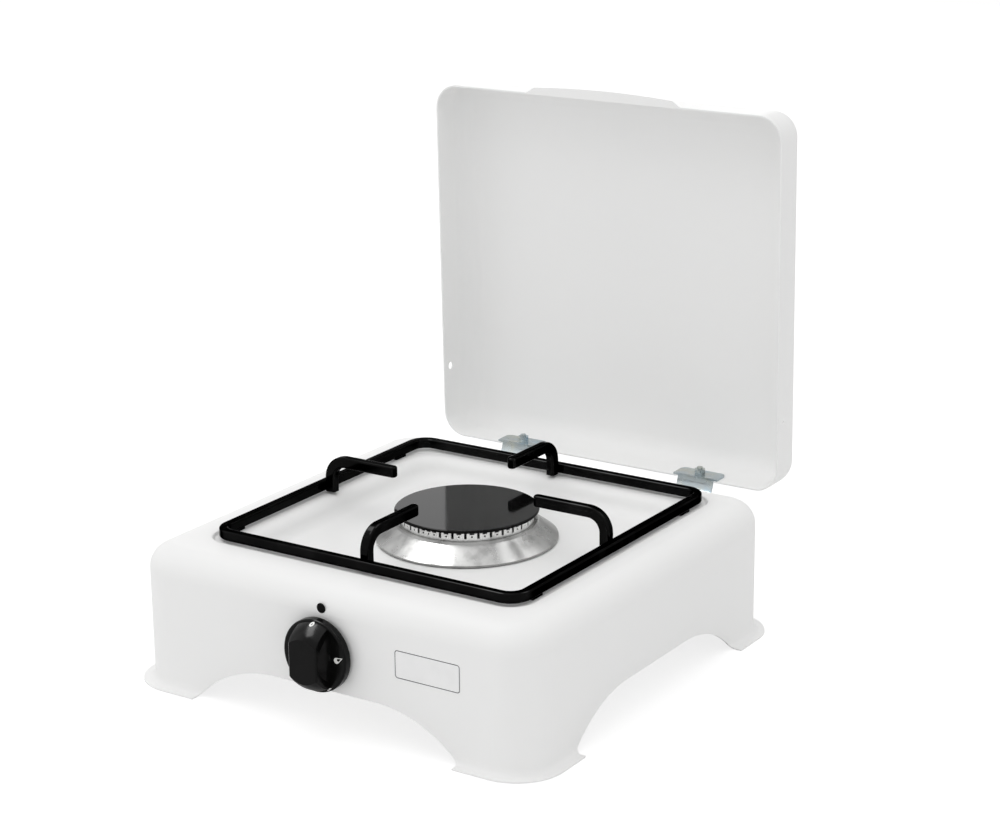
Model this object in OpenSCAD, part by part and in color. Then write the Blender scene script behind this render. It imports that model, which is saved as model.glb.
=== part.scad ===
// One-burner gas stove with a hinged lid, for a tabletop.
// Millimetres. Origin: middle of the body on the table top. +X right, +Y back, +Z up.
// The lid is drawn shut and turned about its hinge pins to where it stands open.

/* [Body] */
// Width of the body, left to right
body_w = 290; // [270:1:330]
// Depth of the body, front to back
body_d = 288; // [276:1:330]
// Height of the flat top above the table
body_h = 89; // [85:1:105]
// Thickness of the enamelled steel sheet
sheet = 1; // [0.7:0.1:1.4]
// Radius of the upright corners, seen from above
corner_r = 24; // [20:1:30]
// Radius of the shoulder between wall and top
shoulder_r = 15; // [11:0.5:17]
// How far the toes stand out from the wall
toe_out = 7.5; // [5.5:0.5:10]
// Bend radius between wall and toe
toe_bend = 4; // [2:0.5:5]
// Length of each foot along the wall
foot_len = 48; // [40:1:56]
// Height of the arches between the feet
arch_h = 26; // [16:1:30]
// Length of the curved run at each end of an arch
arch_run = 60; // [40:1:70]

/* [Top] */
// How far the recess sits behind the middle of the body
recess_back = 7; // [4:0.5:9]
// Outer size of the square recess for the pan support
recess_size = 237; // [236:1:240]
// Depth of that recess
recess_depth = 2; // [1.5:0.1:3]
// Length of the slope at the edge of the recess
recess_run = 3; // [3:0.1:3.4]
// Radius of the recess corners
recess_r = 17; // [15:1:22]
// Size of the square well at its upper edge
well_size = 210; // [204:1:214]
// Radius of the well's corners at its upper edge
well_r = 26; // [20:1:32]
// Length of the slope between ledge and well floor
well_run = 16; // [11:1:18]
// Depth of the well floor below the flat top
well_depth = 14; // [12.5:0.5:15]

/* [Pan support] */
// Outer size of the square frame
grid_size = 228; // [224:1:229]
// Outer radius of the frame's corners
grid_r = 14; // [11:1:18]
// Thickness of the enamelled bar
bar_t = 6; // [5:0.5:7]
// Height of the frame's bar
bar_h = 6.6; // [6:0.1:8]
// Height of a finger's bar
finger_h = 7.4; // [6.5:0.1:9]
// Rounding of the bars' edges
bar_edge = 1.4; // [0.8:0.1:2]
// Height of the frame's four tabs
tab_h = 1.8; // [1.2:0.1:4]
// Length of a tab along the bar
tab_len = 10.5; // [6:0.5:14]
// Half the distance between the two tabs of one side
tab_off = 87.6; // [70:0.1:90]
// How far the tabs sit in front of the middle of the frame
tab_front = 2.8; // [0:0.1:5]
// Height of the fingers above the frame
finger_rise = 18.6; // [15:0.1:21]
// Radius of the finger's bend, on its middle line
finger_bend = 12; // [8:1:16]
// Radius of the circle that the finger tips leave free
finger_gap_r = 52.5; // [49:0.5:60]

/* [Burner] */
// How far the burner sits behind the middle of the recess
burner_back = 2.6; // [0:0.1:4]
// Radius of the burner cap
cap_r = 46.2; // [44:0.1:47.5]
// Thickness of the burner cap
cap_t = 2; // [1.6:0.1:3]
// Outer radius of the slotted flame ring
crown_r = 42.6; // [40.5:0.1:43]
// Thickness of the flame ring's wall
crown_wall = 4.4; // [3:0.1:6]
// Height of the flame ring above its seat
crown_h = 9; // [8.5:0.1:10.5]
// Number of places for flame slots; the one in front stays shut
slot_count = 33; // [24:1:36]
// Width of a main flame slot
slot_w = 1.6; // [1:0.1:2.2]
// Depth of a main flame slot
slot_depth = 4.5; // [3:0.1:5.4]
// Width of the small notch between two slots
notch_w = 3; // [1.5:0.1:3.2]
// Depth of the small notch between two slots
notch_depth = 1.8; // [0.8:0.1:2.2]
// Radius of the pilot hole under each notch
pilot_r = 0.6; // [0.4:0.1:0.8]
// Radius of the skirt's rim on the well floor
skirt_r = 58.2; // [54:0.1:62]
// Height of the skirt
skirt_h = 12.4; // [11.5:0.1:13.5]
// Height of the skirt's rim
skirt_rim = 1.3; // [0.8:0.1:2]
// Gap between the rim and the well floor
rim_gap = 0.6; // [0.4:0.1:1.2]
// Outer radius of the gas throat
throat_r = 13; // [11:0.5:14]
// Length of the gas throat below the flame ring
throat_len = 19; // [15:1:20]
// Outer radius of the cup's barrel
barrel_r = 18; // [17.5:0.5:20]
// Radius of the cup's flange
flange_r = 38; // [36:1:40]
// Radius of the circle of burner screws
burner_screw_r = 29; // [27:0.5:31]

/* [Gas line] */
// Depth of the tap, the pipes and the jet holder below the flat top
tap_drop = 39; // [38:0.5:41]
// Length of the tap's brass barrel
tap_len = 30; // [28:1:38]
// Radius of the tap's brass barrel
tap_r = 10; // [9:0.5:12]
// Outer radius of the gas pipes
pipe_r = 4; // [3:0.5:4.5]
// Inner radius of the gas pipes
pipe_bore = 3; // [2:0.5:3]
// Distance of the inlet pipe left of the middle
inlet_x = 42; // [36:1:48]
// Bend radius of the inlet pipe
inlet_bend = 14; // [12:1:20]
// Radius of the hose tail's plain shank
tail_r = 5; // [4:0.1:5.2]
// Length of the hose tail's plain shank
tail_shank = 8; // [6:1:12]
// Number of barbs on the hose tail
barb_count = 3; // [2:1:4]
// Length of one barb
barb_len = 4.5; // [3.5:0.5:6]
// How deep the groove in front of a barb is
barb_cut = 0.9; // [0.4:0.1:1.2]

/* [Knob] */
// Radius of the knob's skirt
knob_r = 22.8; // [21:0.1:25]
// Thickness of the knob's skirt
knob_skirt = 5.2; // [5:0.1:7]
// Distance of the grip's face from the knob's back
knob_depth = 17; // [15:0.5:20]
// Width of the grip bar across the knob
grip_w = 20.5; // [14:0.5:22]
// Chamfer along the grip bar's edges
grip_chamfer = 0.8; // [0.4:0.1:2]
// How far the foot of the grip bar swells out on each side
grip_swell = 3; // [1:0.1:4]
// Gap between the knob and the front wall
knob_gap = 3; // [2.9:0.1:4]
// How far the knob goes in when pressed
knob_travel = 2.5; // [2:0.1:2.6]
// Radius of the tap spindle
spindle_r = 4; // [3.5:0.1:4]

/* [Lid] */
// Distance of the shut lid's side rims from the body's side walls
lid_side_in = 12; // [10:0.5:14]
// Distance of the shut lid's front rim from the body's front wall
lid_front_in = 24; // [21:0.5:26]
// Distance of the shut lid's back rim from the body's back wall
lid_back_in = 11.5; // [11:0.1:12.5]
// Height of the lid's rim
lid_h = 32.5; // [30:0.5:40]
// Radius of the lid's corners, seen from above
lid_corner_r = 17; // [15:1:24]
// Bend radius between the lid's panel and its rim
lid_bend = 14; // [10:0.5:15]
// Gap between the shut lid and the flat top
lid_gap = 0.4; // [0.3:0.1:1]
// Length of the pull lip along the rim
lip_len = 118; // [80:1:140]
// How far the middle of the pull lip stands out
lip_out = 5.7; // [4:0.1:8]
// How much lower the lip's ends are than its middle
lip_arc = 1.7; // [0.5:0.1:2.5]
// Length of the slant at each end of the lip
lip_slant = 9.5; // [6:0.5:14]
// Radius of the hanging hole in the lid's left rim
hole_left_r = 2.6; // [2:0.1:3.5]
// Radius of the hanging hole in the lid's right rim
hole_right_r = 1.1; // [0.8:0.1:2]
// Height of the hanging holes above the lid's rim
hole_rise = 7.7; // [5:0.1:10]
// Distance of the hanging holes from the lid's back
hole_from_back = 48.5; // [40:0.5:60]

/* [Hinges] */
// How far the lid turns between shut and open
lid_turn = 89; // [80:1:90]
// Distance of each hinge from the middle
hinge_x = 71; // [60:1:85]
// Distance of the hinge pins behind the back wall
pin_back = 6; // [5.9:0.1:7]
// Depth of the hinge pins below the flat top
pin_drop = 28.7; // [26:0.1:31]
// Radius of the hinge pins
pin_r = 2; // [1.5:0.1:2.5]
// Thickness of the hinge plates
hinge_t = 1.2; // [1:0.1:1.3]
// Width of the hinge leaf between its outer faces
leaf_w = 27; // [24:0.5:30]
// Gap between the shoulder and the shut leaf
leaf_gap = 1.6; // [1.2:0.1:1.8]
// Width of the leaf's plate on the lid
plate_w = 33.5; // [31:0.5:46]
// Height of the leaf's plate on the lid
plate_h = 13.5; // [12:0.5:17]

/* [Hidden] */

$fn = 96;
over = 1;           // overshoot of cutting shapes
run_fit = 0.05;     // radial clearance of a turning or sliding fit
bolt_fit = 0.15;    // radial clearance of a hole for a fixing
side_fit = 0.3;     // gap between two plates that turn past each other

front_wall_y = -body_d / 2;
back_wall_y = body_d / 2;
shoulder_y = body_d / 2 - shoulder_r;
shoulder_z = body_h - shoulder_r;
ledge_z = body_h - recess_depth;
floor_z = body_h - well_depth;
floor_size = well_size - 2 * well_run;
burner_y = recess_back + burner_back;
tap_z = body_h - tap_drop;
arch_r = (arch_run * arch_run + arch_h * arch_h) / (2 * arch_h);

grid_z = ledge_z + tab_h;             // underside of the frame
grid_top = grid_z + bar_h;
finger_top = grid_top + finger_rise;
leg_r = grid_size / 2 - bar_t - finger_h / 2 + 0.3;   // middle line of a finger's leg

skirt_lip = 2;                        // width of the ring round the flame ring's foot
skirt_top = floor_z + skirt_h;
seat_z = skirt_top - 3;               // the flame ring sits this far down in the skirt
seat_w = 2;
crown_fit = 0.4;
crown_top = seat_z + crown_h;
crown_floor = 2;                      // thickness of the flame ring's floor
cap_top = crown_top + cap_t;
cap_ring_h = 3;                       // height of the locating ring under the cap
throat_hole = throat_r - 2;
throat_z = seat_z - throat_len;
neck_hole = barrel_r + 2;             // hole in skirt and well floor
cup_wall = 3;
cup_flange_t = 2;
cup_top = floor_z - sheet;
boss_h = 14;                          // solid foot of the cup, with the gas way in it
boss_z = tap_z - boss_h / 2;
window_h = 10;
window_w = 12;
port_r = 6;                           // outside of every pipe fitting
gas_way = 2;                          // radius of the drilled gas ways
port_len = 10;
socket = 4;                           // how far a pipe goes into its fitting
jet_hex = 4.6;
jet_r = 3;
screw_r = 2;
screw_head_r = 3.6;
screw_head_h = 2;

neck_len = 9;                         // tap neck, from front wall to brass barrel
neck_r = 7;
neck_flange_t = 3;
flange_w = 36;
tap_front = front_wall_y + sheet + neck_len;
tap_back = tap_front + tap_len;
plug_r = 6.4;
plug_end_r = 5;
plug_len = tap_len - 5;
tongue_w = 3;
tongue_h = 7;
tongue_len = 11;
collar_r = 5.5;
locknut_t = 3;
neck_front = front_wall_y - locknut_t - 0.4;
port_y = tap_front + tap_len * 0.55;
knob_back = front_wall_y - knob_gap;
knob_face = knob_back - knob_depth;
knob_hollow = knob_back - neck_front + knob_travel + 0.4;
spindle_front = knob_face + 6;
dome_r = knob_r - 0.6;
nut_r = 8.1;
nut_len = 10;
hex_r = 10.4;
tail_y = back_wall_y + 7;
tail_bore = 2.5;

lid_w = body_w - 2 * lid_side_in;
lid_d = body_d - lid_front_in - lid_back_in;
lid_y = (lid_front_in - lid_back_in) / 2;
lid_z = body_h + lid_gap;
lid_back_y = lid_y + lid_d / 2;
pin_y = back_wall_y + pin_back;
pin_z = body_h - pin_drop;
leaf_in = shoulder_r + leaf_gap;
leaf_out = leaf_in + hinge_t;
ear_r = 4.6;
ear_depth = 5.2;
ear_arc = 50;                         // angle over which an ear follows the shoulder
notch_gap = 1;
plate_y = lid_back_y - sheet - hinge_t;
plate_z = lid_z + 0.6;
leaf_screw_z = plate_z + plate_h / 2;
leaf_nut_t = 3.2;
bracket_w = leaf_w + 2 * side_fit + 2 * hinge_t;
bracket_z = pin_z - 19;
bracket_top = pin_z - ear_r + 1.5;
rivet_z = (bracket_z + bracket_top) / 2;
rivet_r = 1.6;
rivet_x = 5.5;

// ---------- shapes that repeat ----------

// A flat ring about a centre
module ring_at(centre, r_in, r_out) {
    translate(centre)
        difference() {
            circle(r_out);
            circle(r_in);
        }
}

// Part of a flat ring, from one angle to another (less than 180 degrees apart)
module arc_band(r_in, r_out, from, to) {
    far = 2 * r_out;
    mid = (from + to) / 2;
    intersection() {
        ring_at([0, 0], r_in, r_out);
        polygon([
            [0, 0],
            [far * cos(from), far * sin(from)],
            [far * cos(mid), far * sin(mid)],
            [far * cos(to), far * sin(to)],
        ]);
    }
}

// Runs a section round a rectangle with round corners. The section's x = 0 lies on the
// corner's centre line, and its y is the height.
module run_round(w, d, r) {
    cx = w / 2 - r;
    cy = d / 2 - r;
    for (side = [0:3]) {
        out = side % 2 == 0 ? cx : cy;
        half = side % 2 == 0 ? cy : cx;
        rotate(90 * side) {
            translate([out, half, 0])
                rotate([90, 0, 0])
                    linear_extrude(2 * half) children();
            translate([out, half, 0])
                rotate_extrude(angle = 90) children();
        }
    }
}

// A flat slab with round corners
module slab(w, d, r, h) {
    translate([-w / 2 + r, -d / 2, 0]) cube([w - 2 * r, d, h]);
    translate([-w / 2, -d / 2 + r, 0]) cube([w, d - 2 * r, h]);
    for (sx = [-1, 1], sy = [-1, 1])
        translate([sx * (w / 2 - r), sy * (d / 2 - r), 0]) cylinder(r = r, h = h);
}

// Round-edged outline of a bar, standing up, middle of its foot at the origin
module bar_outline(h) {
    e = bar_edge;
    for (x = [e - bar_t / 2, bar_t / 2 - e], y = [e, h - e]) translate([x, y]) circle(e);
    translate([-bar_t / 2, e]) square([bar_t, h - 2 * e]);
    translate([e - bar_t / 2, 0]) square([bar_t - 2 * e, h]);
}

// Section of a drawn wall with a rounded upper edge
module wall_section(r, bend, top, foot) {
    translate([0, top - sheet]) square([r - bend, sheet]);
    translate([r - bend, top - bend]) arc_band(bend - sheet, bend, 0, 90);
    translate([r - sheet, foot]) square([sheet, top - bend - foot]);
}

// A tube along +Y, from its end
module tube_y(r, bore, len) {
    rotate([-90, 0, 0])
        difference() {
            cylinder(r = r, h = len);
            translate([0, 0, -over]) cylinder(r = bore, h = len + 2 * over);
        }
}

// Solid rod along +Y
module rod_y(r, len, sides = 96) {
    rotate([-90, 0, 0]) cylinder(r = r, h = len, $fn = sides);
}

// Turns the shut lid and what is on it to where it stands open
module stand_open() {
    translate([0, pin_y, pin_z])
        rotate([-lid_turn, 0, 0])
            translate([0, -pin_y, -pin_z]) children();
}

// ---------- body ----------

module body_section() {
    bend_z = sheet + toe_bend;
    wall_section(corner_r, shoulder_r, body_h, bend_z);
    translate([corner_r + toe_bend, bend_z]) arc_band(toe_bend, toe_bend + sheet, 180, 270);
    translate([corner_r + toe_bend, 0]) square([toe_out - toe_bend, sheet]);
}

// Section of a step down between two levels, its upper edge at x = r: two equal bends,
// which meet on the line between their centres
module step_section(r, run, high, low) {
    drop = high - low;
    bend = round(100 * (run * run + drop * drop) / (4 * drop)) / 100;
    upper = [r, high - bend];
    lower = [r - run, low + bend];
    intersection() {
        ring_at(upper, bend - sheet, bend);
        polygon([upper, lower, [lower.x, high + over], [upper.x, high + over]]);
    }
    intersection() {
        ring_at(lower, bend, bend + sheet);
        polygon([upper, lower, [lower.x, low - sheet - over], [upper.x, low - sheet - over]]);
    }
}

// The opening under one arch: level in the middle, round at both ends
module arch_outline(wall) {
    level = wall / 2 - foot_len - arch_run;
    translate([-level, -over]) square([2 * level, arch_h + over]);
    for (side = [0, 1])
        mirror([side, 0])
            intersection() {
                translate([level, arch_h - arch_r]) circle(arch_r, $fn = 180);
                translate([level - over, -over]) square([arch_run + 2 * over, arch_h + over]);
            }
}

module arches() {
    long = body_d + 2 * toe_out + 2 * over;
    wide = body_w + 2 * toe_out + 2 * over;
    translate([0, long / 2, 0]) rotate([90, 0, 0]) linear_extrude(long) arch_outline(body_w);
    translate([-wide / 2, 0, 0])
        rotate([90, 0, 90]) linear_extrude(wide) arch_outline(body_d);
}

module body_top() {
    top_w = body_w - 2 * corner_r;
    top_d = body_d - 2 * corner_r;
    difference() {
        union() {
            run_round(body_w, body_d, corner_r) body_section();
            translate([-top_w / 2, -top_d / 2, body_h - sheet]) cube([top_w, top_d, sheet]);
        }
        translate([0, recess_back, body_h - sheet - over])
            slab(recess_size, recess_size, recess_r, sheet + 2 * over);
    }
}

module well() {
    ledge_out = recess_size - 2 * recess_run;
    run_round(recess_size, recess_size, recess_r)
        step_section(recess_r, recess_run, body_h, ledge_z);
    difference() {
        translate([0, 0, ledge_z - sheet])
            slab(ledge_out, ledge_out, recess_r - recess_run, sheet);
        translate([0, 0, ledge_z - sheet - over])
            slab(well_size, well_size, well_r, sheet + 2 * over);
    }
    run_round(well_size, well_size, well_r) step_section(well_r, well_run, ledge_z, floor_z);
    difference() {
        translate([0, 0, floor_z - sheet])
            slab(floor_size, floor_size, well_r - well_run, sheet);
        translate([0, burner_back, floor_z - sheet - over]) {
            cylinder(r = neck_hole, h = sheet + 2 * over);
            burner_screw_places() cylinder(r = screw_r + bolt_fit, h = sheet + 2 * over);
        }
    }
}

module bracket_rivet_places() {
    for (hinge = [-1, 1], side = [-1, 1])
        translate([hinge * hinge_x + side * rivet_x, back_wall_y, rivet_z]) children();
}

module body_shell() {
    color("white")
    difference() {
        union() {
            body_top();
            translate([0, recess_back, 0]) well();
        }
        arches();
        translate([0, front_wall_y - over, tap_z])
            rod_y(neck_r + bolt_fit, sheet + 2 * over);
        translate([-inlet_x, back_wall_y - sheet - over, tap_z])
            rod_y(port_r + bolt_fit, sheet + 2 * over);
        bracket_rivet_places()
            translate([0, -sheet - over, 0]) rod_y(rivet_r + run_fit, sheet + 2 * over);
    }
}

// ---------- burner ----------

module burner_screw_places() {
    for (i = [0:2]) rotate(90 + 120 * i) translate([burner_screw_r, 0, 0]) children();
}

module burner_cup() {
    color("gainsboro")
    translate([0, burner_y, 0])
    difference() {
        union() {
            translate([0, 0, cup_top - cup_flange_t]) cylinder(r = flange_r, h = cup_flange_t);
            translate([0, 0, boss_z]) cylinder(r = barrel_r, h = cup_top - boss_z);
            translate([0, -barrel_r - port_len, tap_z]) rod_y(port_r, port_len + cup_wall);
        }
        translate([0, 0, boss_z + boss_h])
            cylinder(r = barrel_r - cup_wall, h = cup_top - boss_z);
        translate([0, 0, tap_z - jet_r]) cylinder(r = jet_r + run_fit, h = boss_h);
        translate([0, -barrel_r - port_len - over, tap_z]) {
            rod_y(gas_way, barrel_r + port_len + over);
            rod_y(pipe_r + run_fit, socket + over);
        }
        for (turn = [45, 135])
            rotate(turn)
                translate([-flange_r, -window_w / 2, boss_z + boss_h])
                    cube([2 * flange_r, window_w, window_h]);
        burner_screw_places()
            translate([0, 0, cup_top - cup_flange_t - over])
                cylinder(r = screw_r + run_fit, h = cup_flange_t + 2 * over);
    }
}

module injector_jet() {
    hex_z = boss_z + boss_h;
    color("goldenrod")
    translate([0, burner_y, 0])
    difference() {
        union() {
            translate([0, 0, tap_z + pipe_bore]) cylinder(r = jet_r, h = hex_z - tap_z - pipe_bore);
            translate([0, 0, hex_z]) cylinder(r = jet_hex, h = 3.5, $fn = 6);
            translate([0, 0, hex_z + 3.5]) cylinder(r1 = jet_r, r2 = 1.6, h = 3.5);
        }
        translate([0, 0, tap_z]) cylinder(r = 1.4, h = boss_h);
        translate([0, 0, tap_z]) cylinder(r = 0.4, h = boss_h + 5 + over, $fn = 24);
    }
}

module burner_skirt() {
    seat_r = crown_r + crown_fit;
    brim = seat_r + skirt_lip;
    bead = 0.7;
    color("silver")
    translate([0, burner_y, floor_z])
    difference() {
        rotate_extrude()
            polygon([
                [neck_hole, 0],
                [seat_r, 0],
                [seat_r, skirt_h - 5],
                [brim, skirt_h - 5],
                [skirt_r - 3, rim_gap],
                [skirt_r, rim_gap],
                [skirt_r, rim_gap + skirt_rim],
                [brim + bead, skirt_h - 1.4],
                [brim, skirt_h],
                [seat_r, skirt_h],
                [seat_r, seat_z - floor_z],
                [seat_r - seat_w, seat_z - floor_z],
                [seat_r - seat_w, 2],
                [neck_hole, 2],
            ]);
        burner_screw_places()
            translate([0, 0, -over]) cylinder(r = screw_r + bolt_fit, h = 2 + 2 * over);
    }
}

module burner_screws() {
    color("lightgrey")
    translate([0, burner_y, 0])
        burner_screw_places() {
            translate([0, 0, floor_z + 2]) cylinder(r = screw_head_r, h = screw_head_h);
            translate([0, 0, cup_top - cup_flange_t - 2])
                cylinder(r = screw_r, h = floor_z + 2 - cup_top + cup_flange_t + 2);
        }
}

module flame_spreader() {
    ring_in = crown_r - crown_wall;
    color("silver")
    translate([0, burner_y, 0])
    difference() {
        union() {
            translate([0, 0, seat_z]) cylinder(r = crown_r, h = crown_h);
            translate([0, 0, throat_z]) cylinder(r = throat_r, h = throat_len);
        }
        translate([0, 0, seat_z + crown_floor]) cylinder(r = ring_in, h = crown_h);
        translate([0, 0, throat_z - over])
            cylinder(r = throat_hole, h = throat_len + crown_floor + 2 * over);
        translate([0, 0, throat_z]) cylinder(r1 = throat_hole + 1, r2 = throat_hole, h = 5);
        for (i = [1:slot_count - 1])
            rotate(360 / slot_count * i - 90)
                translate([ring_in - over, -slot_w / 2, crown_top - slot_depth])
                    cube([crown_wall + 2 * over, slot_w, slot_depth + over]);
        for (i = [0:slot_count])
            rotate(360 / slot_count * (i < slot_count ? i + 0.5 : 0) - 90) {
                translate([ring_in - over, -notch_w / 2, crown_top - notch_depth])
                    cube([crown_wall + 2 * over, notch_w, notch_depth + over]);
                translate([ring_in - over, 0, crown_top - (notch_depth + slot_depth) / 2])
                    rotate([0, 90, 0]) cylinder(r = pilot_r, h = crown_wall + 2 * over, $fn = 24);
            }
    }
}

module burner_cap() {
    ring_in = crown_r - crown_wall - crown_fit;
    edge = cap_t / 2;
    color("black")
    translate([0, burner_y, crown_top]) {
        rotate_extrude() {
            square([cap_r - edge, cap_t]);
            intersection() {
                translate([cap_r - edge, edge]) circle(edge);
                translate([cap_r - edge, 0]) square([cap_t, cap_t]);
            }
        }
        translate([0, 0, -cap_ring_h])
            difference() {
                cylinder(r = ring_in, h = cap_ring_h);
                translate([0, 0, -over]) cylinder(r = ring_in - 2, h = cap_ring_h + over);
            }
    }
}

// ---------- pan support ----------

// One finger, reaching in along -X from its leg
module finger() {
    middle = finger_h / 2;
    leg_top = finger_top - middle - finger_bend;
    bend_x = leg_r - finger_bend;
    tip_x = finger_gap_r + bar_t / 2;
    // leg
    translate([leg_r, 0, grid_z])
        linear_extrude(leg_top - grid_z)
            rotate(90) translate([0, -middle]) bar_outline(finger_h);
    // bend
    translate([bend_x, 0, leg_top])
        rotate([90, 0, 0])
            rotate_extrude(angle = 90)
                translate([finger_bend, 0])
                    rotate(90) translate([0, -middle]) bar_outline(finger_h);
    // level run with a round end
    translate([tip_x, 0, finger_top - finger_h])
        rotate([90, 0, 90]) linear_extrude(bend_x - tip_x) bar_outline(finger_h);
    translate([tip_x, 0, finger_top - finger_h])
        rotate(90)
            rotate_extrude(angle = 180)
                intersection() {
                    bar_outline(finger_h);
                    square([bar_t, finger_h]);
                }
}

module pan_support() {
    color("black")
    translate([0, recess_back, 0]) {
        run_round(grid_size, grid_size, grid_r)
            translate([grid_r - bar_t / 2, grid_z]) bar_outline(bar_h);
        for (i = [0:3]) rotate(90 * i) finger();
        for (sx = [-1, 1], sy = [-1, 1])
            translate([
                sx * (grid_size - bar_t) / 2 - bar_t / 4,
                sy * tab_off - tab_front - tab_len / 2,
                ledge_z,
            ])
                cube([bar_t / 2, tab_len, tab_h + bar_h / 2]);
    }
}

// ---------- tap ----------

module tap_screw_places() {
    for (side = [-1, 1]) translate([side * (flange_w / 2 - 5), 0, tap_z]) children();
}

// Two-eared flange, standing on the Y axis
module tap_flange(y, t) {
    translate([0, y, tap_z]) rod_y(tap_r, t);
    tap_screw_places() translate([0, y, 0]) rod_y(5, t);
    translate([-flange_w / 2 + 5, y, tap_z - 5]) cube([flange_w - 10, t, 10]);
}

module tap_body() {
    color("goldenrod")
    difference() {
        union() {
            tap_flange(tap_front, 4);
            translate([0, tap_front, tap_z]) rod_y(tap_r, tap_len);
            translate([-tap_r - port_len, port_y, tap_z])
                rotate([0, 90, 0]) cylinder(r = port_r, h = port_len + 2);
            translate([0, tap_back, tap_z]) rod_y(port_r, port_len);
        }
        translate([0, tap_front, tap_z])
            rotate([-90, 0, 0])
                cylinder(r1 = plug_r + run_fit, r2 = plug_end_r + run_fit, h = plug_len + run_fit);
        translate([0, tap_front + plug_len - over, tap_z]) rod_y(pipe_bore, tap_len + port_len);
        translate([0, tap_back + port_len - socket, tap_z])
            rod_y(pipe_r + run_fit, socket + over);
        translate([-tap_r - port_len - over, port_y, tap_z])
            rotate([0, 90, 0]) {
                cylinder(r = gas_way, h = tap_r + port_len + over);
                cylinder(r = pipe_r + run_fit, h = socket + over);
            }
        tap_screw_places() translate([0, tap_front - over, 0]) rod_y(screw_r + run_fit, 4 + 2 * over);
    }
}

module tap_neck() {
    inside = front_wall_y + sheet;
    color("goldenrod")
    difference() {
        union() {
            tap_flange(tap_front - neck_flange_t, neck_flange_t);
            translate([0, inside, tap_z]) rod_y(tap_r - 1, neck_len - neck_flange_t);
            translate([0, neck_front, tap_z]) rod_y(neck_r, inside - neck_front + 1);
        }
        translate([0, neck_front - over, tap_z])
            rod_y(spindle_r + run_fit, tap_front - neck_front + 2 * over);
        translate([0, inside, tap_z]) rod_y(collar_r + side_fit, neck_len + over);
        tap_screw_places()
            translate([0, tap_front - neck_flange_t - over, 0])
                rod_y(screw_r + bolt_fit, neck_flange_t + 2 * over);
    }
}

module tap_neck_screws() {
    color("lightgrey")
    tap_screw_places() {
        translate([0, tap_front - neck_flange_t - screw_head_h, 0]) rod_y(screw_head_r, screw_head_h);
        translate([0, tap_front - neck_flange_t, 0]) rod_y(screw_r, neck_flange_t + 5);
    }
}

module tap_locknut() {
    color("lightgrey")
    translate([0, front_wall_y - locknut_t, tap_z])
        difference() {
            rod_y(hex_r, locknut_t, 6);
            translate([0, -over, 0]) rod_y(neck_r + run_fit, locknut_t + 2 * over);
        }
}

// The taper that turns in the barrel. Its side hole points up when the tap is shut,
// and the small hole a quarter turn on gives the low flame.
module tap_plug() {
    inset = 0.3;
    color("khaki")
    translate([0, tap_front, tap_z])
    difference() {
        rotate([-90, 0, 0])
            translate([0, 0, inset])
                cylinder(r1 = plug_r, r2 = plug_end_r, h = plug_len - 2 * inset);
        translate([-tongue_w / 2 - side_fit, -over, -tongue_h / 2 - side_fit])
            cube([tongue_w + 2 * side_fit, tongue_len + knob_travel + over, tongue_h + 2 * side_fit]);
        translate([0, port_y - tap_front, 0]) {
            cylinder(r = gas_way, h = plug_r + over);
            rotate([0, 90, 0]) cylinder(r = 0.6, h = plug_r + over, $fn = 24);
            rod_y(gas_way, plug_len);
        }
    }
}

module tap_spindle() {
    collar_y = front_wall_y + sheet + 0.2;
    flat = spindle_r - 1.2;
    flat_end = knob_back - knob_hollow + 0.3;
    color("lightgrey")
    difference() {
        union() {
            translate([0, spindle_front, tap_z]) rod_y(spindle_r, collar_y - spindle_front + 1);
            translate([0, collar_y, tap_z]) rod_y(collar_r, 1.6);
            translate([-tongue_w / 2, collar_y, tap_z - tongue_h / 2])
                cube([tongue_w, tap_front - collar_y + tongue_len - 1, tongue_h]);
        }
        translate([-spindle_r - over, spindle_front - over, tap_z + flat])
            cube([2 * spindle_r + 2 * over, flat_end - spindle_front + over, spindle_r]);
    }
}

// Points of a coil's cross-section at one place along its wire
function coil_ring(angle, radius, rise, wire, sides) = [
    for (i = [0:sides - 1])
        let (a = 360 / sides * i, r = radius + wire * cos(a))
            [r * cos(angle), rise + wire * sin(a), r * sin(angle)]
];

module coil(radius, wire, length, turns, steps, sides) {
    count = turns * steps;
    points = [
        for (k = [0:count])
            each coil_ring(360 * k / steps, radius, length * k / count, wire, sides)
    ];
    walls = [
        for (k = [0:count - 1], i = [0:sides - 1])
            let (j = (i + 1) % sides)
                [k * sides + i, k * sides + j, (k + 1) * sides + j, (k + 1) * sides + i]
    ];
    start = [[for (i = [0:sides - 1]) sides - 1 - i]];
    end = [[for (i = [0:sides - 1]) count * sides + i]];
    polyhedron(points, concat(walls, start, end), convexity = 10);
}

module tap_spring() {
    wire = 0.4;
    start = front_wall_y + sheet + 0.2 + 1.6 + wire + 0.05;
    end = tap_front + 0.3 - wire - 0.05;
    color("lightgrey")
        translate([0, start, tap_z])
            coil((tongue_h + wire) / 2 + 0.7, wire, end - start, 4, 16, 6);
}

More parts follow.
